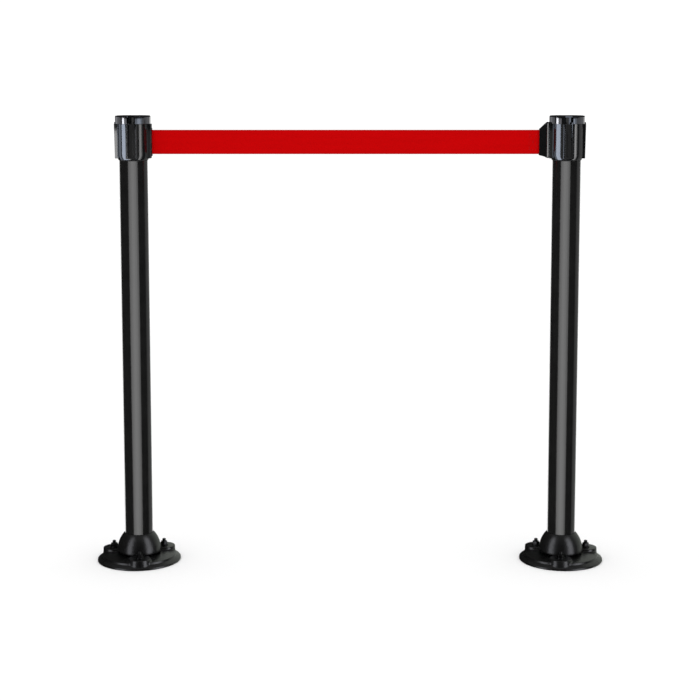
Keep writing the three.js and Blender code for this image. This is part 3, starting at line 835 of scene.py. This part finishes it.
def webbing_section():
    """Half the belt's thickness across its width: lengthwise cords between two rounded edges."""
    half_width, cords, per_cord = (BELT_TOP - BELT_LOW) / 2, 32, 8
    valley, edge_r = 0.085, 0.4
    across = np.linspace(-half_width, half_width, cords * per_cord + 1)
    cord = 0.5 + 0.5 * np.cos(2 * math.pi * cords * (across / (2 * half_width) + 0.5))
    thick = BELT_T / 2 - valley * cord
    edge = (half_width - np.abs(across)) / edge_r
    thick *= np.sqrt(np.clip(1 - (1 - np.clip(edge, 0, 1)) ** 2, 0.02, 1))
    return across, thick


def belt_run(name, path, section=None):
    """Webbing that stands on edge along a path of (x, y) points."""
    across, thick = section or webbing_section()
    path = np.asarray(path, float)
    ahead = np.gradient(path, axis=0)
    ahead /= np.linalg.norm(ahead, axis=1)[:, None]
    side = np.column_stack((ahead[:, 1], -ahead[:, 0]))
    z = np.concatenate((across, across[::-1])) + BELT_MID
    offset = np.concatenate((thick, -thick[::-1]))
    layers = []
    for p, n in zip(path, side):
        layers.append(np.column_stack((p[0] + n[0] * offset, p[1] + n[1] * offset, z)))
    return rings(name, layers)


def plain_section():
    """The belt as a flat strip, for the turns that lie inside the roll."""
    across = np.linspace(BELT_LOW - BELT_MID, BELT_TOP - BELT_MID, 33)
    return across, np.full(33, BELT_T / 2 * 0.9)


def belt_roll():
    """The turns of belt on the spool, as one spiral of webbing."""
    turns = int((ROLL_OUT - ROLL_IN) / (BELT_T + 0.02)) - 1
    steps = turns * 72
    share = np.arange(steps + 1) / steps
    radius = ROLL_IN + 0.45 + (ROLL_OUT - ROLL_IN - 0.9) * share
    angle = -share * turns * 2 * math.pi
    path = np.column_stack((radius * np.cos(angle), radius * np.sin(angle)))
    return belt_run("roll", path, plain_section())


def belt_lead_in():
    """The belt from the roll's outermost turn to the outlet, where it bends into line."""
    winding = ROLL_OUT + GAP + BELT_T / 2
    meeting = 33.0
    leaving = math.acos(winding / meeting)
    start = np.array((winding * math.cos(leaving), winding * math.sin(leaving)))
    slope = start[1] / (meeting - start[0])
    bend = 3.0
    path = [start + (np.array((meeting - bend, slope * bend)) - start) * t for t in np.linspace(0, 1, 8)]
    for t in np.linspace(0.12, 1, 8):
        path.append((meeting - bend * (1 - t) ** 2 + bend * t ** 2, slope * bend * (1 - t) ** 2))
    return belt_run("lead", path)


def belt_strap():
    """The single strap between the posts, and where it starts and ends."""
    start = POSTS["left"] + STRAP_START
    end = POSTS["right"] - END_PIN - STRAP_MOUTH
    path = np.column_stack((np.linspace(start, end, 150), np.zeros(150)))
    return belt_run("strap", path), start, end


def belt_loop():
    """The folded end: round the pin, then flat behind the belt. Made towards +X, from the pin's axis."""
    radius = END_PIN_R + GAP + BELT_T / 2
    lie = BELT_T + GAP
    start = math.asin(lie / radius * 0.98)
    angles = np.linspace(math.radians(28), 2 * math.pi - start, 60)
    path = [(END_PIN + radius * math.cos(a), radius * math.sin(a)) for a in angles]
    path += [(END_PIN + 2.6 + t, -lie) for t in np.linspace(0, FOLD_END - END_PIN - 2.6, 24)]
    return belt_run("loop", path)


STITCH_LAYERS, STITCH_SIDES = 7, 8


def stitch(x, z, dx, dz):
    """Points of one stitch at y = 0, layer by layer: a short thread on the belt, its ends going in."""
    length = math.hypot(dx, dz)
    ux, uz = dx / length, dz / length
    points = []
    for t in np.linspace(0, 1, STITCH_LAYERS):
        rise = math.sin(math.pi * t) ** 0.6
        fat = STITCH_R * (0.35 + 0.65 * rise)
        centre = np.array((x + dx * t, -0.16 * rise + 0.1, z + dz * t))
        for k in range(STITCH_SIDES):
            a = k * 2 * math.pi / STITCH_SIDES
            points.append(centre + (-uz * fat * math.cos(a), fat * math.sin(a), ux * fat * math.cos(a)))
    return points


def stitch_faces(base):
    """Faces of the stitch whose points start at an index."""
    n = STITCH_SIDES
    faces = []
    for start in range(base, base + (STITCH_LAYERS - 1) * n, n):
        for b in range(n):
            c = (b + 1) % n
            faces.append((start + b, start + c, start + n + c, start + n + b))
    last = base + (STITCH_LAYERS - 1) * n
    return faces + [tuple(range(base, base + n))[::-1], tuple(range(last, last + n))]


def stitching():
    """A sewn box with a cross inside it, through both layers of the belt."""
    x0, x1 = (POSTS["right"] - reach for reach in STITCHED)
    z0, z1 = BELT_MID - STITCHED_HALF, BELT_MID + STITCHED_HALF
    runs = [
        ((x0, z0), (x1, z0)),
        ((x1, z0), (x1, z1)),
        ((x1, z1), (x0, z1)),
        ((x0, z1), (x0, z0)),
        ((x0, z0), (x1, z1)),
        ((x0, z1), (x1, z0)),
    ]
    front, back = (-BELT_T / 2 + 0.02, 1), (BELT_T * 1.5 + GAP - 0.02, -1)
    start, share = 0.13, 0.74  # of a step: where its stitch starts, and how much of it the stitch takes
    points, faces = [], []
    for (ax, az), (bx, bz) in runs:
        length = math.hypot(bx - ax, bz - az)
        count = round(length / STITCH_PITCH)
        ux, uz = (bx - ax) / length, (bz - az) / length
        step = length / count
        for k in range(count):
            x, z = ax + ux * step * (k + start), az + uz * step * (k + start)
            for y, flip in (front, back):
                faces += stitch_faces(len(points))
                for p in stitch(x, z, ux * step * share, uz * step * share):
                    points.append((p[0], y + flip * p[1], p[2]))
    return make("stitches", points, faces)


def end_profile(d):
    """Half width, low and high edge of the end piece at a distance from the post's axis."""
    at = (END_FACE, END_FACE + 2.9, END_FACE + 7.8, END_NOSE - 1.2, END_NOSE)
    high = (TOP - 13, TOP - 14.2, TOP - 18.2, BELT_TOP + 2.8, BELT_TOP + 2.3)
    low = (HEAD_LOW + 4.1, HEAD_LOW + 4.5, BELT_LOW - 5.0, BELT_LOW - 2.6, BELT_LOW - 2.3)
    wide_at = (END_FACE, END_FACE + 2.9, END_FACE + 4.4, END_FACE + 12, END_NOSE - 1.2, END_NOSE)
    wide = (11, 11, 9, 6, 5.1, 4.8)
    return np.interp(d, wide_at, wide), np.interp(d, at, low), np.interp(d, at, high)


def end_section(d):
    """The end piece's outline at a distance from the post's axis, its tall sides in short steps."""
    half, low, high = end_profile(d)
    edge, shrink = 0.9, 0.0
    for depth in (d - END_FACE, END_NOSE - d):
        if depth < edge:
            shrink = edge * (1 - math.sqrt(1 - (1 - depth / edge) ** 2))
    half, low, high = half - shrink, low + shrink, high - shrink
    corner = min(2.4, half * 0.45)
    square = ((-half, low), (half, low), (half, high), (-half, high))
    corners = rounded([(x, y, corner) for x, y in square], 8)
    section = []
    for i, p in enumerate(corners):
        q = corners[(i + 1) % len(corners)]
        steps = 64 if np.linalg.norm(q - p) > 30 else 1
        section += [p + (q - p) * k / steps for k in range(steps)]
    return np.array(section)


def add_ridges(section, d):
    """Raises the finger ridges on an outline's tall sides. They run out before both ends."""
    start, end, run_out = END_FACE + 5, END_NOSE - 2.2, 1.2
    if start < d < end:
        swell = min(1.0, (d - start) / run_out, (end - d) / run_out)
        height = section[:, 1] - BELT_MID
        inside = np.abs(height) < RIDGE_PITCH * RIDGE_REACH
        ridge = np.clip(np.cos(height / RIDGE_PITCH * 2 * math.pi) * 1.6 - 0.55, 0, 1) * inside
        section[:, 0] += np.sign(section[:, 0]) * RIDGE_HEIGHT * swell * ridge


def end_piece():
    """The moulded end: a flange against the lips, a body that narrows to the belt, and the T-shaped bar."""
    distances = [END_FACE, END_FACE + 0.12, END_FACE + 0.4, END_FACE + 0.9]
    distances += list(np.arange(END_FACE + 1.4, END_NOSE - 1.0, 0.45))
    distances += [END_NOSE - 0.9, END_NOSE - 0.4, END_NOSE - 0.12, END_NOSE]
    layers = []
    for d in distances:
        section = end_section(d)
        add_ridges(section, d)
        layers.append(np.column_stack((np.full(len(section), d), section)))
    body = rings("end", layers)
    bar_half, neck_half = CHANNEL_HALF - 0.5, SLOT_HALF - 0.6
    bar = box_solid(CHANNEL_BACK + 1.2, CHANNEL_FRONT - 1.2, -bar_half, bar_half, *END_BAR, 0.6, 0.5)
    neck = box_solid(CHANNEL_FRONT - 2, END_FACE + 1, -neck_half, neck_half, *END_BAR, 0, 0.3)
    body = combine(body, [bar, neck], "UNION")
    pocket = box_solid(END_PIN - 3.4, END_NOSE + 1, -3.4, 3.4, BELT_LOW - 1.6, BELT_TOP + 1.6, 0.5)
    hole = moved(disc(END_PIN_R + GAP, BELT_LOW - 20, BELT_TOP + 3.4, 32), END_PIN)
    return combine(body, [pocket, hole], "DIFFERENCE")


def facing_belt(obj):
    """Turns a piece made outwards from the right post so that it faces the belt."""
    return mapped(obj, lambda p: np.column_stack((POSTS["right"] - p[:, 0], -p[:, 1], p[:, 2])))


# ------------------------------------------------------------------ assembly

def build_anchors(side, x, templates):
    """The studs, washers and nuts of a post. Each nut and stud stops at its own angle."""
    lean = 31 if side == "right" else 0
    for i, a in enumerate(PAD_ANGLES):
        px, py = polar(PAD_CIRCLE, a + BASE_TURN[side])
        twists = {"stud": 40 * i, "washer": 0, "nut": 17 + 23 * i}
        for kind, template in templates.items():
            piece = moved(aimed(copied(template), twists[kind] + lean), x + px, py)
            name = f"{side}_anchor_{kind}_{i + 1}"
            finished(piece, f"{name}_skin", "posts", "dark_zinc", [name], 30)


def build_posts():
    templates = {
        "base_flange": (base_flange(), "cast_black", 38),
        "base_collar": (base_collar(), "cast_black", 40),
        "post_tube": (post_tube(), "tube_black", 40),
        "cap_plug": (cap_plug(), "cap_plastic", 40),
    }
    anchors = {"stud": anchor_stud(), "washer": anchor_washer(), "nut": anchor_nut()}
    for side, x in POSTS.items():
        for name, (template, slot, angle) in templates.items():
            turn = 0 if name == "cap_plug" else BASE_TURN[side]
            piece = moved(aimed(copied(template), turn), x)
            finished(piece, f"{side}_{name}_skin", "posts", slot, [f"{side}_{name}"], angle)
        build_anchors(side, x, anchors)
        name = f"{side}_head_body"
        finished(moved(head_body(side), x), f"{name}_skin", "posts", "head_plastic", [name])
        name = f"{side}_head_cap"
        finished(moved(head_cap(side), x), f"{name}_skin", "posts", "cap_plastic", [name])
    for template in [t for t, _, _ in templates.values()] + list(anchors.values()):
        bpy.data.objects.remove(template)


def hold_sewn_end(obj):
    """Bakes the piece's placement into its mesh; it is tied to no body."""
    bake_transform(obj)


def build_belt():
    left = POSTS["left"]
    bezel = moved(outlet_bezel(), left)
    finished(bezel, "outlet_bezel_skin", "posts", "head_plastic", ["belt_outlet_bezel"])
    finished(moved(belt_roll(), left), "belt_roll_webbing", "spool", "red_webbing", ["belt_roll"], 60)
    finished(moved(belt_lead_in(), left), "belt_lead_webbing", "posts", "red_webbing", ["belt_lead_in"], 60)
    strap, start, end = belt_strap()
    finished(strap, "belt_strap_webbing", "belt", "red_webbing", ["belt_strap"], 60)
    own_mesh(strap)
    loop = facing_belt(belt_loop())
    finished(loop, "belt_loop_webbing", hold_sewn_end, "red_webbing", ["belt_loop"], 60)
    sewn = stitching()
    finished(sewn, "belt_stitching", hold_sewn_end, "red_webbing", (), 60)
    sewn.data.materials[0] = THREAD
    finished(facing_belt(end_piece()), "belt_end_skin", "belt_end", "head_plastic", ["belt_end_body"])


def dress_cad():
    """Gives each CAD node that stays its material."""
    slots = {s["node"]: s["material_slot"] for s in frame["record"]["subparts"]}
    for name, obj in frame["nodes"].items():
        obj.data.materials.clear()
        obj.data.materials.append(MATERIALS[slots[name]])


# ------------------------------------------------------------------ studio

CAMERA_DISTANCE, CAMERA_HEIGHT, CAMERA_TILT = 3.40, 1.0465, 6.612
CAMERA_LENS, CAMERA_SHIFT = 83.2, -0.13


def camera():
    data = bpy.data.cameras.new("camera")
    data.sensor_width = 36
    data.lens = CAMERA_LENS
    data.shift_y = CAMERA_SHIFT
    obj = bpy.data.objects.new("camera", data)
    obj.location = (0, -CAMERA_DISTANCE, CAMERA_HEIGHT)
    obj.rotation_euler = (math.radians(90 - CAMERA_TILT), 0, 0)
    bpy.context.scene.collection.objects.link(obj)
    bpy.context.scene.camera = obj


def floor():
    """A pale floor that the posts don't mirror in, and that throws no shadow itself."""
    half = 30.0
    mesh = bpy.data.meshes.new("floor")
    corners = [(-half, -half, 0), (half, -half, 0), (half, half, 0), (-half, half, 0)]
    mesh.from_pydata(corners, [], [(0, 1, 2, 3)])
    obj = bpy.data.objects.new("floor", mesh)
    bpy.context.scene.collection.objects.link(obj)
    g = Graph("floor_paint")
    tone = g.ramp(g.noise(3.0, 3.0, 0.6), [(0.3, (0.955, 0.955, 0.955, 1)), (0.7, (0.965, 0.965, 0.965, 1))])
    g.shade(Base_Color=tone, Roughness=g.span(g.noise(40.0), 0.85, 0.95), Specular_IOR_Level=0.0)
    mesh.materials.append(g.material)
    obj.visible_glossy = False
    obj.visible_shadow = False


def world():
    """White to the camera and an even light on matt surfaces; reflections see dark and a dim ceiling."""
    w = bpy.data.worlds.new("studio")
    bpy.context.scene.world = w
    w.use_nodes = True
    w.cycles.sampling_method = "NONE"
    nodes, links = w.node_tree.nodes, w.node_tree.links
    nodes.clear()
    path = nodes.new("ShaderNodeLightPath")
    even = nodes.new("ShaderNodeBackground")
    even.inputs["Color"].default_value = (1, 1, 1, 1)
    even.inputs["Strength"].default_value = 1.1
    direction = nodes.new("ShaderNodeTexCoord")
    axes = nodes.new("ShaderNodeSeparateXYZ")
    ceiling = nodes.new("ShaderNodeMapRange")
    ceiling.inputs["From Min"].default_value = 0.55
    ceiling.inputs["From Max"].default_value = 0.95
    ceiling.inputs["To Min"].default_value = 0.03
    ceiling.inputs["To Max"].default_value = 0.33
    dark = nodes.new("ShaderNodeBackground")
    mix = nodes.new("ShaderNodeMixShader")
    out = nodes.new("ShaderNodeOutputWorld")
    links.new(direction.outputs["Generated"], axes.inputs[0])
    links.new(axes.outputs["Z"], ceiling.inputs["Value"])
    links.new(ceiling.outputs["Result"], dark.inputs["Strength"])
    links.new(path.outputs["Is Glossy Ray"], mix.inputs[0])
    links.new(even.outputs[0], mix.inputs[1])
    links.new(dark.outputs[0], mix.inputs[2])
    links.new(mix.outputs[0], out.inputs[0])


PANEL_DISTANCE = 1.2
PANEL_POWER = 4  # watts per square metre of a panel, for each unit of strength


def panel(name, x, facing, span, heights, strength, colour, receivers):
    """A soft light that a post sees between two angles, counted from the way to the camera."""
    middle = math.radians(facing + (span[0] + span[1]) / 2)
    half = math.radians((span[1] - span[0]) / 2)
    width, height = 2 * PANEL_DISTANCE * math.tan(half), heights[1] - heights[0]
    data = bpy.data.lights.new(name, "AREA")
    data.shape = "RECTANGLE"
    data.size, data.size_y = width, height
    data.energy = strength * width * height * PANEL_POWER
    data.color = colour
    obj = bpy.data.objects.new(name, data)
    direction = Vector((math.sin(middle), -math.cos(middle), 0))
    obj.location = Vector((x * MM, 0, sum(heights) / 2)) + direction * PANEL_DISTANCE
    obj.rotation_euler = direction.to_track_quat("Z", "Y").to_euler()
    obj.visible_camera = False
    obj.visible_diffuse = False
    bpy.context.scene.collection.objects.link(obj)
    group = bpy.data.collections.new(name)
    for piece in receivers:
        group.objects.link(piece)
    obj.light_linking.receiver_collection = group


WHITE, BLUE = (1.0, 1.0, 1.0), (0.74, 0.83, 1.0)
PALE_BLUE, PALE_GREEN = (0.92, 0.93, 1.0), (0.94, 1.0, 0.92)
SOFTBOXES = {
    # what they light: (from angle, to angle, strength, colour)
    "tube": (
        (-44, -33, 2.05, WHITE),
        (-33, -20, 2.6, WHITE),
        (-20, 2, 3.1, WHITE),
        (2, 17, 2.75, WHITE),
        (17, 31, 1.85, WHITE),
        (92, 145, 0.34, WHITE),
        (148, 170, 1.8, WHITE),
        (-168, -142, 1.8, WHITE),
    ),
    "base": (
        (-64, -39, 2.1, PALE_BLUE),
        (40, 68, 2.5, PALE_BLUE),
        (100, 178, 0.42, PALE_GREEN),
    ),
    "left_head": (
        (-118, -96, 1.5, BLUE),
        (-86, -42, 8.0, BLUE),
        (-42, -24, 5.5, WHITE),
        (-22, 36, 0.25, WHITE),
        (43, 59, 3.6, WHITE),
        (59, 68, 1.1, WHITE),
        (95, 160, 0.35, WHITE),
    ),
    "right_head": (
        (-98, -80, 1.5, BLUE),
        (-80, -46, 8.0, BLUE),
        (-42, 20, 0.3, WHITE),
        (54, 70, 4.6, WHITE),
        (70, 78, 1.5, WHITE),
        (95, 160, 0.35, WHITE),
    ),
    "cap": (
        (-145, -82, 1.1, PALE_BLUE),
        (-72, -57, 19.0, PALE_BLUE),
        (-54, -36, 2.3, PALE_BLUE),
        (-10, 12, 0.6, WHITE),
        (14, 28, 2.6, BLUE),
        (28, 50, 5.2, BLUE),
        (50, 62, 2.4, BLUE),
        (62, 120, 1.0, PALE_BLUE),
        (125, 165, 1.3, WHITE),
    ),
    "end": (
        (-120, -60, 0.2, BLUE),
        (6, 32, 5.4, WHITE),
    ),
}
SOFTBOX_HEIGHTS = {
    "tube": (-0.7, 1.5),
    "base": (-0.9, 1.5),
    "left_head": (-0.5, 1.0),
    "right_head": (-0.5, 1.0),
    "cap": (0.3, 1.0),
    "end": (0.1, 1.1),
}


def lit_pieces(side):
    """What each set of softboxes lights at one post."""
    objects = bpy.data.objects
    lit = {
        "tube": [objects[f"{side}_post_tube_skin"]],
        "base": [o for o in objects if o.name.startswith((f"{side}_base", f"{side}_anchor"))],
        f"{side}_head": [objects[f"{side}_head_body_skin"]],
        "cap": [objects[f"{side}_head_cap_skin"], objects[f"{side}_cap_plug_skin"]],
    }
    if side == "left":
        lit["left_head"].append(objects["outlet_bezel_skin"])
    else:
        lit["end"] = [objects["belt_end_skin"]]
    return lit


def lights():
    for side, x in POSTS.items():
        facing = math.degrees(math.atan2(-x * MM, CAMERA_DISTANCE))
        lit = lit_pieces(side)
        for kind, boxes in SOFTBOXES.items():
            if kind not in lit:
                continue
            for start, end, strength, colour in boxes:
                name = f"{side}_{kind}_{start}"
                heights = SOFTBOX_HEIGHTS[kind]
                panel(name, x, facing, (start, end), heights, strength, colour, lit[kind])


def colour_management():
    view = bpy.context.scene.view_settings
    view.view_transform = "Standard"
    view.look = "None"
    view.exposure, view.gamma = 0, 1


camera()
build_posts()
build_belt()
dress_cad()
floor()
world()
lights()
colour_management()
